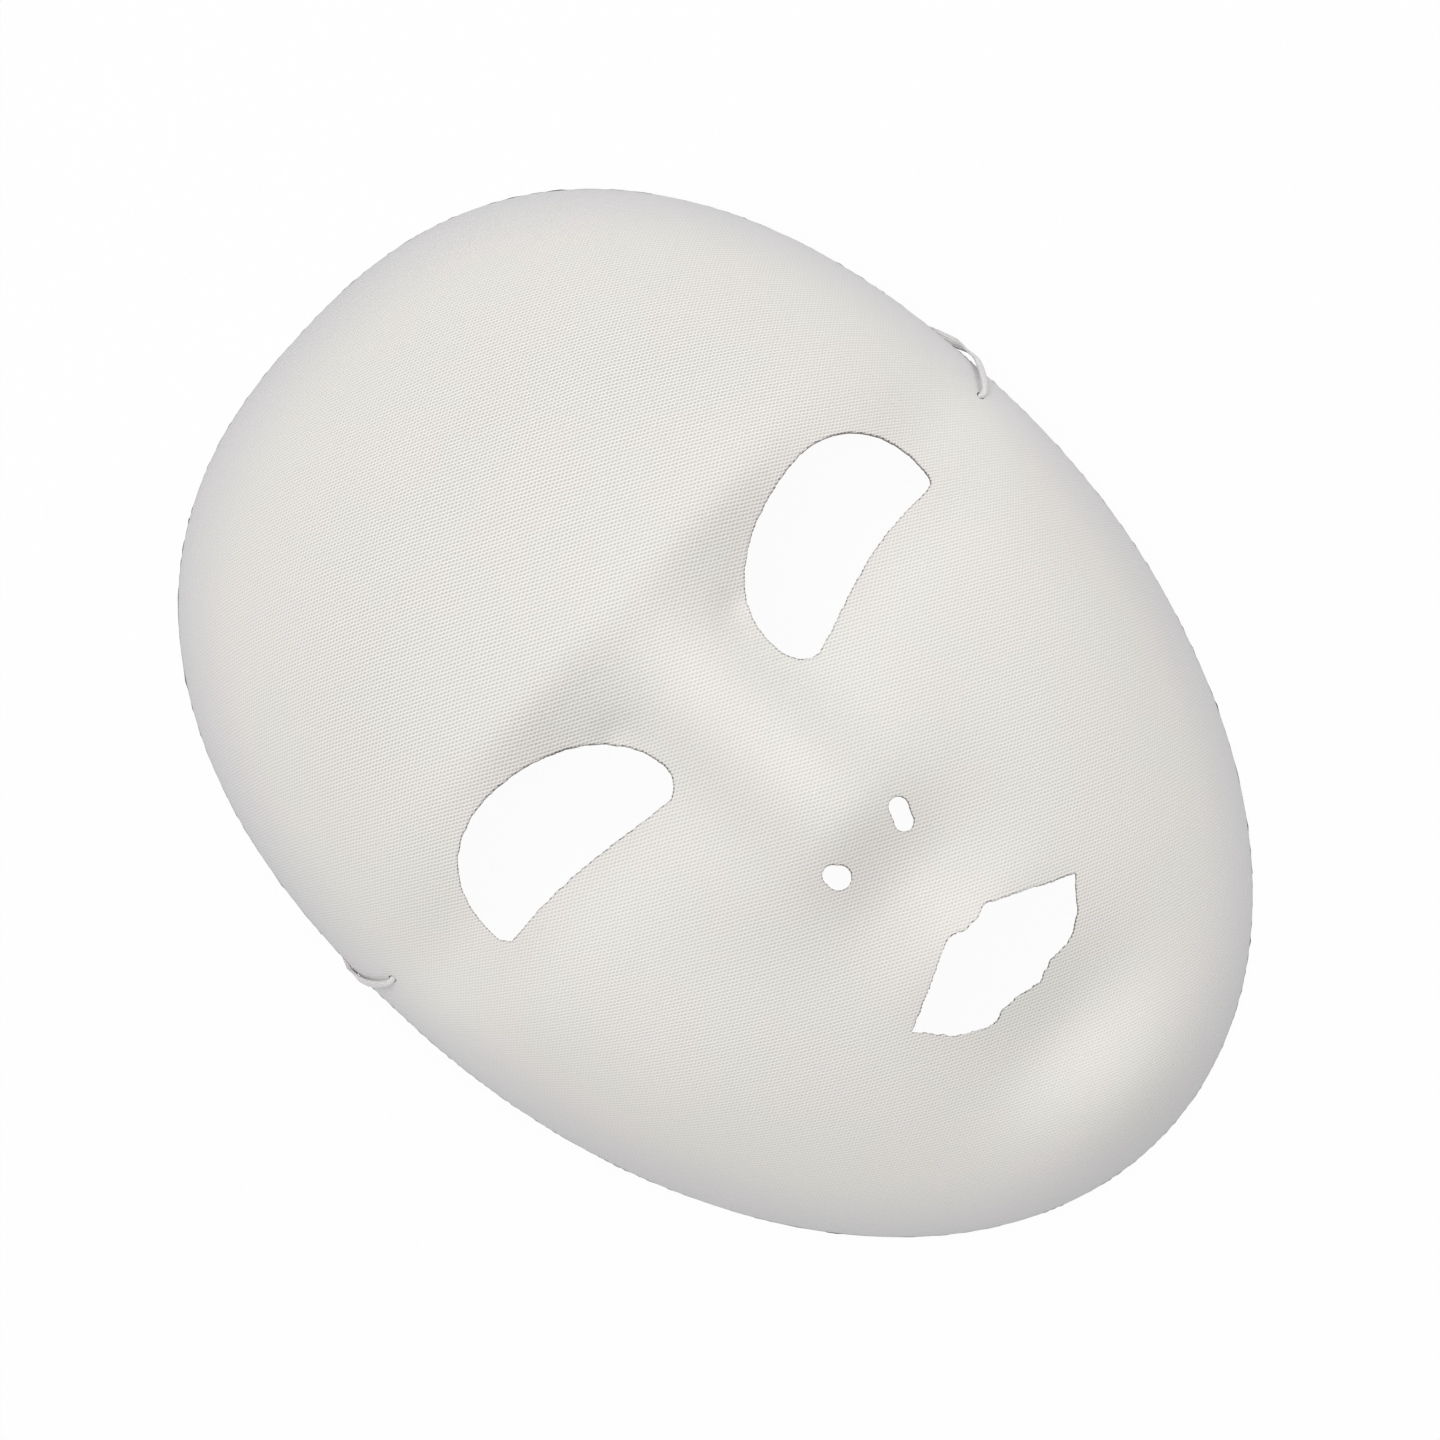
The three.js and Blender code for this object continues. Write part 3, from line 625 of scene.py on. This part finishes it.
# %% Cut a hole in a flat sheet
def cut_hole(bm, outline, border, reach, edge_layer):
    wide = widened(outline, border)
    near = faces_along(bm, wide, reach)
    centres = {face: face.calc_center_median().xy for face in near}
    for start, end in zip(wide, wide[1:] + wide[:1]):
        middle = (start + end) / 2
        local = [f for f, c in centres.items() if (c - middle).length < reach]
        geometry = set(local)
        for face in local:
            geometry.update(face.edges)
            geometry.update(face.verts)
        along = (end - start).normalized()
        result = bmesh.ops.bisect_plane(
            bm,
            geom=list(geometry),
            dist=1e-5,
            plane_co=start.to_3d(),
            plane_no=(-along.y, along.x, 0.0),
        )
        for face in result["geom"]:
            if isinstance(face, bmesh.types.BMFace):
                centres[face] = face.calc_center_median().xy
    xs, ys = [p.x for p in wide], [p.y for p in wide]
    doomed = []
    for face in bm.faces:
        c = face.calc_center_median()
        if min(xs) < c.x < max(xs) and min(ys) < c.y < max(ys) and is_inside(c, wide):
            doomed.append(face)
    lips = {edge for face in doomed for edge in face.edges}
    bmesh.ops.delete(bm, geom=doomed, context="FACES")
    lips = [edge for edge in lips if edge.is_valid and edge.is_boundary]
    border_geometry = bmesh.ops.extrude_edge_only(bm, edges=lips)["geom"]
    wide_points = np.array([tuple(p) for p in wide])
    ahead = np.roll(wide_points, -1, axis=0) - wide_points
    for vert in border_geometry:
        if isinstance(vert, bmesh.types.BMVert):
            offset = np.array(vert.co.xy) - wide_points
            t = np.clip((offset * ahead).sum(axis=1) / (ahead**2).sum(axis=1), 0, 1)
            gaps = np.linalg.norm(offset - ahead * t[:, None], axis=1)
            best = int(gaps.argmin())
            true = outline[best].lerp(outline[(best + 1) % len(outline)], t[best])
            vert.co.xy = true
            vert[edge_layer] = 1.0
    return len(doomed)


trial = flat_sheet(30, 38)
trial_edge = trial.verts.layers.float.new("cut_edge")
print("faces cut from a coarse trial:", cut_hole(trial, *CUTS[2], 6.0, trial_edge))
trial.free()

# %% Raise a flat sheet into the face
WALL_START, WALL_CHANGE = 0.80, 0.12
CUT_SLANT = 0.1
RIM_MARK = 2.0


def along_surface(x, y):
    """Where a point of the flat cloth went: distances measured over the dome."""
    steps = 32
    length = np.zeros_like(x)
    last = dome_height(np.zeros_like(x), np.full_like(x, WIDEST_Y))
    run = np.hypot(x, y - WIDEST_Y) / steps
    for step in range(1, steps + 1):
        t = step / steps
        height = dome_height(x * t, WIDEST_Y + (y - WIDEST_Y) * t)
        length += np.hypot(run, height - last)
        last = height
    stretch = length / np.maximum(run * steps, 1e-9)
    return x * stretch, (y - WIDEST_Y) * stretch


def inward(x, y, depth):
    """Into the sheet: almost straight down at the holes, square to the wall by the rim."""
    normal = face_normal(x, y)
    straight = np.zeros_like(normal)
    straight[:, 2] = -depth / normal[:, 2]
    straight[:, :2] = -CUT_SLANT * depth[:, None] * np.array(PICTURE_UP[:2])
    wall = smooth_array((outline_norm(x, y) - WALL_START) / WALL_CHANGE)[:, None]
    return straight * (1 - wall) - normal * depth[:, None] * wall


cheek_u, cheek_v = along_surface(np.array([50.0]), np.array([-20.0]))
print("a cheek point on the flat cloth, in mm:", cheek_u.round(1), cheek_v.round(1))

# %% Press a sheet
def give_wall(bm, side_layer):
    """Doubles the flat sheet into an outer and an inner side, joined at every edge."""
    outer_faces = set(bm.faces)
    doubled = bmesh.ops.extrude_face_region(bm, geom=list(bm.faces), use_keep_orig=True)
    for vert in doubled["geom"]:
        if isinstance(vert, bmesh.types.BMVert):
            vert[side_layer] = 1.0
    turned = [face for face in bm.faces if face not in outer_faces]
    bmesh.ops.reverse_faces(bm, faces=turned)
    for edge in bm.edges:
        sides = [face in outer_faces for face in edge.link_faces]
        edge.smooth = len(set(sides)) == 1


def pressed_sheet(name, columns, rows, depth, thickness, lift, reach, rounding, ragged):
    bm = flat_sheet(columns, rows)
    edge_layer = bm.verts.layers.float.new("cut_edge")
    rim_layer = bm.verts.layers.float.new("toward_rim")
    side_layer = bm.verts.layers.float.new("inner_side")
    for outline, border in CUTS:
        cut_hole(bm, outline, border, reach, edge_layer)
    for edge in bm.edges:
        for vert in edge.verts:
            if edge.is_boundary and vert[edge_layer] == 0.0:
                vert[edge_layer] = RIM_MARK
    give_wall(bm, side_layer)
    x = np.array([vert.co.x for vert in bm.verts])
    y = np.array([vert.co.y for vert in bm.verts])
    side = np.array([vert[side_layer] for vert in bm.verts])
    edge = np.array([vert[edge_layer] for vert in bm.verts])
    below = depth + side * thickness + (edge == 1.0) * (1 - side) * rounding
    place = np.stack([x, y, face_height(x, y)], axis=1) + inward(x, y, below)
    normal = face_normal(x, y)
    floor_height = lift + arch_height(y)
    cloth_u, cloth_v = along_surface(x, y)
    rho = outline_norm(x, y)
    for i, vert in enumerate(bm.verts):
        point = Vector(place[i])
        if vert[edge_layer] == RIM_MARK:
            wave = noise.noise(Vector((x[i] * 0.8, y[i] * 0.8, 3.0)))
            wave += 0.7 * noise.noise(Vector((x[i] * 2.1, y[i] * 2.1, 8.0)))
            point.xy += Vector(normal[i][:2]) * ragged * wave
            vert[edge_layer] = 1.0
        point.z = max(point.z, floor_height[i])
        vert.co = point * MM
        vert[rim_layer] = float(min(rho[i], 1.0))
    threads = bm.loops.layers.uv.new("threads")
    bm.verts.index_update()
    for face in bm.faces:
        face.smooth = True
        for loop in face.loops:
            i = loop.vert.index
            loop[threads].uv = (cloth_u[i] * MM, cloth_v[i] * MM)
    mesh = bpy.data.meshes.new(name)
    bm.to_mesh(mesh)
    bm.free()
    piece = bpy.data.objects.new(name, mesh)
    bpy.context.scene.collection.objects.link(piece)
    return piece


# %% Make the woven cloth
cloth = pressed_sheet(
    "woven_cloth",
    columns=150,
    rows=190,
    depth=0.0,
    thickness=0.4,
    lift=0.3,
    reach=2.0,
    rounding=0.07,
    ragged=0.22,
)
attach(cloth, "mask")
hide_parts("cloth_face")
print("cloth faces:", len(cloth.data.polygons))

# %% [markdown]
# ## Backing
# Under the cloth is the moulded shell that holds the shape. It shows on the inside and
# as a thin line at the cut edges. The same pressed sheet serves, coarser, deeper by the
# cloth's thickness, and a little thicker.

# %% Make the moulded backing
backing = pressed_sheet(
    "moulded_backing",
    columns=90,
    rows=110,
    depth=0.42,
    thickness=0.95,
    lift=0.0,
    reach=3.2,
    rounding=0.0,
    ragged=0.0,
)
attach(backing, "mask")
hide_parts("backing_shell")
print("backing faces:", len(backing.data.polygons))

# %% [markdown]
# ## Writing finishes
# A finish here is a sum of small patterns: threads, hollows, stains, and painted shade in
# the hollows, along the frayed cuts and at the foot of the rim.
# Dragging dozens of maths nodes by hand is slow to read. One small class wraps a node's
# output so that ordinary Python operators add the maths nodes.

# %% Small tools for finishes
class Field:
    """A number that varies over a surface, written as an expression."""

    def __init__(self, finish, socket):
        self.finish = finish
        self.socket = socket

    def __add__(self, other):
        return self.finish.maths("ADD", self, other)

    def __radd__(self, other):
        return self.finish.maths("ADD", other, self)

    def __sub__(self, other):
        return self.finish.maths("SUBTRACT", self, other)

    def __rsub__(self, other):
        return self.finish.maths("SUBTRACT", other, self)

    def __mul__(self, other):
        return self.finish.maths("MULTIPLY", self, other)

    def __rmul__(self, other):
        return self.finish.maths("MULTIPLY", other, self)

    def __truediv__(self, other):
        return self.finish.maths("DIVIDE", self, other)

    def __pow__(self, other):
        return self.finish.maths("POWER", self, other)


class Finish:
    """A material, and one method that adds any node to it."""

    def __init__(self, name):
        self.material = bpy.data.materials.new(name)
        self.material.use_nodes = True
        self.tree = self.material.node_tree
        self.shader = self.tree.nodes["Principled BSDF"]

    def node(self, kind, settings=None, inputs=None, output=0):
        node = self.tree.nodes.new(kind)
        for name, value in (settings or {}).items():
            setattr(node, name, value)
        for name, value in (inputs or {}).items():
            self.feed(node.inputs[name], value)
        return Field(self, node.outputs[output])

    def feed(self, socket, value):
        if isinstance(value, Field):
            self.tree.links.new(value.socket, socket)
        else:
            socket.default_value = value

    def maths(self, operation, *values):
        inputs = dict(enumerate(values))
        return self.node("ShaderNodeMath", {"operation": operation}, inputs)

    def ramp(self, value, low, high):
        """0 below low, 1 above high, smooth between."""
        inputs = {"Value": value, "From Min": low, "From Max": high}
        settings = {"interpolation_type": "SMOOTHSTEP"}
        return self.node("ShaderNodeMapRange", settings, inputs)

    def noise(self, position, scale, detail=2.0, output="Fac"):
        inputs = {"Vector": position, "Scale": scale, "Detail": detail}
        return self.node("ShaderNodeTexNoise", {}, inputs, output)

    def blend(self, factor, first, second):
        """A colour between two colours."""
        inputs = {0: factor, 6: first, 7: second}
        return self.node("ShaderNodeMix", {"data_type": "RGBA"}, inputs, 2)

    def attribute(self, name):
        return self.node("ShaderNodeAttribute", {"attribute_name": name}, {}, "Fac")

    def split(self, vector):
        first = self.node("ShaderNodeSeparateXYZ", {}, {0: vector})
        return [Field(self, output) for output in first.socket.node.outputs]

    def bump(self, height, distance, strength=1.0):
        inputs = {"Height": height, "Distance": distance, "Strength": strength}
        return self.node("ShaderNodeBump", {}, inputs, "Normal")

    def set(self, **sockets):
        for name, value in sockets.items():
            self.feed(self.shader.inputs[name.replace("_", " ")], value)


def colour(red, green, blue):
    """A colour picked as it looks, from 0 to 255, as the numbers that light uses."""
    linear = []
    for channel in (red, green, blue):
        share = channel / 255
        curved = ((share + 0.055) / 1.055) ** 2.4
        linear.append(share / 12.92 if share <= 0.04045 else curved)
    return (*linear, 1.0)


THREAD_WHITE, THREAD_CREAM = colour(251, 247, 244), colour(249, 248, 242)
print("thread white as light:", [round(value, 3) for value in THREAD_WHITE])

# %% [markdown]
# ## Woven cotton
# The cloth is a plain weave of thick white cotton. Warp threads run from forehead to
# chin, and the weft goes over one and under the next, so the small hollows between
# threads stand in staggered rows, 0.8 mm apart. Repeating an image would need a picture
# file. Three waves, one across the warp and two that slant both ways, add up to exactly
# such rows. The sheet's own map, measured over the dome, carries them round the face.

# %% Weave the cloth
WARP_GAP = 0.69 * MM
HOLLOW_GAP = 0.80 * MM
SWAY, SHIVER = 0.9, 0.2

cotton = Finish("white_cotton")
surface = cotton.node("ShaderNodeTexCoord", {}, {}, "Object")
map_u, map_v, _ = cotton.split(
    cotton.node("ShaderNodeUVMap", {"uv_map": "threads"}, {}, "UV")
)
sway_u, sway_v, _ = cotton.split(cotton.noise(surface, 60.0, 2.0, "Color"))
shiver_u, shiver_v, _ = cotton.split(cotton.noise(surface, 700.0, 1.0, "Color"))
across = map_u / WARP_GAP + (sway_u - 0.5) * SWAY + (shiver_u - 0.5) * SHIVER
along = map_v / HOLLOW_GAP + (sway_v - 0.5) * SWAY + (shiver_v - 0.5) * SHIVER

straight = cotton.maths("COSINE", across * (2 * math.pi))
rising = cotton.maths("COSINE", (across + along * 2.0) * math.pi)
falling = cotton.maths("COSINE", (across - along * 2.0) * math.pi)
hollow = cotton.ramp((straight * 0.35 + rising + falling * 0.6) / 1.95, -0.85, 0.85)
print("weave nodes:", len(cotton.tree.nodes))

# %% [markdown]
# ## Where the weave shows
# The small hollows between threads hold shade, and it is painted into the colour as rows
# of grey dots. That painted shade and the weave's bumps are clearest on the forehead and
# fade down the face and towards the rim, where the cloth looks almost smooth. One even
# contrast would make the sides look coarse. An attribute that grows towards the rim and
# the place along the face set how clear the hollows are. They are weighed about their
# mean, so the cloth is nowhere darker or lighter for it. Along each cut and along the
# rim's cut edge, painted shade lies in grey dots as fine as the weave, where the thread
# ends fray, and a cool grey painted shade lies on the steep wall.

# %% Colour the cloth
# Painted shade in the weave's hollows: its mean, its depth and its spread with noise
MEAN_GREY, HOLLOW_SHADE, HOLLOW_SHADE_VARIATION = 0.255, 0.27, 0.15

toward_rim = cotton.attribute("toward_rim")
cut_edge = cotton.attribute("cut_edge")
_, up_the_face, height = cotton.split(surface)
# How clearly the weave shows, in both its painted hollow shade and its bumps
weave_clarity = 1.0 + 0.65 * cotton.ramp(up_the_face, 0.0, 70 * MM)
weave_clarity = weave_clarity * (1.0 - 0.7 * cotton.ramp(toward_rim, 0.6, 1.0))
hollow_shade_noise = cotton.noise(surface, 260.0, 3.0)
contrast = weave_clarity * (HOLLOW_SHADE + HOLLOW_SHADE_VARIATION * hollow_shade_noise)
grey = MEAN_GREY + (hollow - 0.5) * contrast
stain = cotton.ramp(cotton.noise(surface, 45.0, 2.0), 0.35, 0.65)
body = cotton.blend(stain, THREAD_WHITE, THREAD_CREAM)
# A cool grey painted shade on the steep wall towards the rim
wall = cotton.ramp(toward_rim, 0.86, 1.0)
body = cotton.blend(wall * 0.8, body, colour(238, 237, 241))
# Painted shade: the hollows between threads are blended towards a warm grey
body = cotton.blend(grey, body, colour(160, 156, 149))
# Painted shade along each cut edge, in grey dots that follow the weave and vary with noise
edge_shade_noise = cotton.ramp(cotton.noise(surface, 160.0, 2.0), 0.35, 0.65)
edge_shade = cotton.ramp(cut_edge, 0.15, 0.8) * (0.1 + 0.9 * hollow) * (0.65 + 0.5 * edge_shade_noise)
beside = cotton.maths("ABSOLUTE", up_the_face - ARCH_CENTRE_Y * MM)
beside = cotton.maths("MINIMUM", beside / (ARCH_HALF_SPAN * MM), 1.0)
arched = (1.0 - beside**2.0) * (ARCH_HEIGHT * MM)
# Painted shade in a narrow band at the foot of the rim, also dotted with the weave
rim_foot_shade = 1.0 - cotton.ramp(height - arched, 0.5 * MM, 1.9 * MM)
edge_shade = edge_shade + rim_foot_shade * (0.3 + 0.7 * hollow) * (0.15 + 0.65 * edge_shade_noise)
body = cotton.blend(edge_shade, body, colour(104, 99, 106))
cotton.set(Base_Color=body, Roughness=0.92, Specular_IOR_Level=0.25)
cotton.set(Normal=cotton.bump((1.0 - hollow) * weave_clarity, 0.08 * MM))
cloth.data.materials.append(cotton.material)
print("cloth finish nodes:", len(cotton.tree.nodes))

# %% [markdown]
# ## Paper fibre and elastic
# The backing is grey-white paper fibre, matt and slightly fuzzy. The elastic is braided:
# fine ribs run along it, crossed by slanting yarns, and the gaps between them carry
# painted shade. Both patterns are drawn straight on the pieces' own maps or positions, as
# the weave is.

# %% Finish the backing
fibre = Finish("paper_fibre")
surface = fibre.node("ShaderNodeTexCoord", {}, {}, "Object")
pulp = fibre.noise(surface, 420.0, 4.0)
cloud = fibre.noise(surface, 35.0, 2.0)
body = fibre.blend(cloud, colour(226, 222, 214), colour(214, 208, 198))
body = fibre.blend(fibre.ramp(pulp, 0.5, 0.8) * 0.35, body, colour(182, 174, 160))
fibre.set(Base_Color=body, Roughness=0.95, Specular_IOR_Level=0.2)
fibre.set(Normal=fibre.bump(pulp, 0.12 * MM))
backing.data.materials.append(fibre.material)
print("backing finish nodes:", len(fibre.tree.nodes))

# %% Finish the elastic
RIBS_AROUND = 14.0
YARN_GAP = 0.9 * MM

braid = Finish("braided_elastic")
around, travelled, _ = braid.split(
    braid.node("ShaderNodeUVMap", {"uv_map": "threads"}, {}, "UV")
)
rib = braid.maths("ABSOLUTE", braid.maths("SINE", around * (RIBS_AROUND * math.pi)))
slant = braid.maths("PINGPONG", around * RIBS_AROUND, 1.0)
yarn = braid.maths("SINE", (travelled / YARN_GAP + slant * 0.7) * math.pi)
yarn = braid.maths("ABSOLUTE", yarn)
braided = rib**0.6 * (0.45 + 0.55 * yarn)
# Painted shade in the gaps between the ribs and yarns
gaps = (1.0 - braided) ** 2.0 * 0.45
body = braid.blend(gaps, colour(246, 243, 243), colour(130, 127, 133))
braid.set(Base_Color=body, Roughness=0.8, Specular_IOR_Level=0.3)
braid.set(Normal=braid.bump(braided, 0.09 * MM))
for piece in (strap, right_knot, left_knot):
    piece.data.materials.append(braid.material)
print("elastic finish nodes:", len(braid.tree.nodes))

# %% [markdown]
# ## Floor and light
# The mask was photographed in a white tent: light from nearly everywhere, strongest from
# high above the forehead, with a little from high on the left and from low on the right.
# The backdrop is pure white. Brightening the lamps for that would bleach the cloth, so
# the floor shows the camera a near white of its own, and only a faint part of it takes
# light, enough to keep the shadow at the rim.

# %% Lay the floor
FLOOR_HALF_SIDE, FLOOR_DROP = 4.0, 0.0002
FLOOR_GLOW = 0.96

floor_mesh = bpy.data.meshes.new("floor")
floor_bm = bmesh.new()
bmesh.ops.create_grid(floor_bm, x_segments=1, y_segments=1, size=FLOOR_HALF_SIDE)
bmesh.ops.translate(floor_bm, verts=floor_bm.verts, vec=(0, 0, -FLOOR_DROP))
floor_bm.to_mesh(floor_mesh)
floor_bm.free()
floor = bpy.data.objects.new("floor", floor_mesh)
bpy.context.scene.collection.objects.link(floor)

paper = Finish("white_floor")
seen = paper.node("ShaderNodeLightPath", output="Is Camera Ray")
rays = seen.socket.node.outputs
for kind in ("Is Glossy Ray", "Is Transmission Ray"):
    seen = paper.maths("MAXIMUM", seen, Field(paper, rays[kind]))
paper.set(Base_Color=(0.8, 0.8, 0.8, 1.0), Roughness=1.0, Specular_IOR_Level=0.0)
glow = paper.node(
    "ShaderNodeEmission", {}, {"Color": (1.0, 1.0, 1.0, 1.0), "Strength": 1.0}
)
lit = Field(paper, paper.shader.outputs[0])
mixed = paper.node("ShaderNodeMixShader", {}, {0: seen * FLOOR_GLOW, 1: lit, 2: glow})
paper.feed(paper.tree.nodes["Material Output"].inputs["Surface"], mixed)
floor.data.materials.append(paper.material)
print("floor side in m:", round(floor.dimensions.x, 1))

# %% Hang the lamps
# Each line: where from, how strong in watts, and how wide in metres
LAMPS = {
    "forehead, high": ((0.0, 0.371, 1.141), 5.0, 0.6),
    "left, high": ((-0.371, 0.0, 1.141), 1.63, 0.6),
    "right, low": ((1.128, 0.0, 0.41), 1.62, 0.6),
}
TENT_STRENGTH = 0.547
for name, (place, power, width) in LAMPS.items():
    lamp_data = bpy.data.lights.new(name, "AREA")
    lamp_data.energy = power
    lamp_data.size = width
    lamp = bpy.data.objects.new(name, lamp_data)
    lamp.location = place
    lamp.rotation_euler = Vector(place).to_track_quat("Z", "Y").to_euler()
    bpy.context.scene.collection.objects.link(lamp)

world = bpy.data.worlds.new("tent")
world.use_nodes = True
background = world.node_tree.nodes["Background"]
background.inputs["Color"].default_value = (1, 1, 1, 1)
background.inputs["Strength"].default_value = TENT_STRENGTH
bpy.context.scene.world = world
bpy.context.scene.view_settings.view_transform = "Standard"
print("lamps:", len(LAMPS))
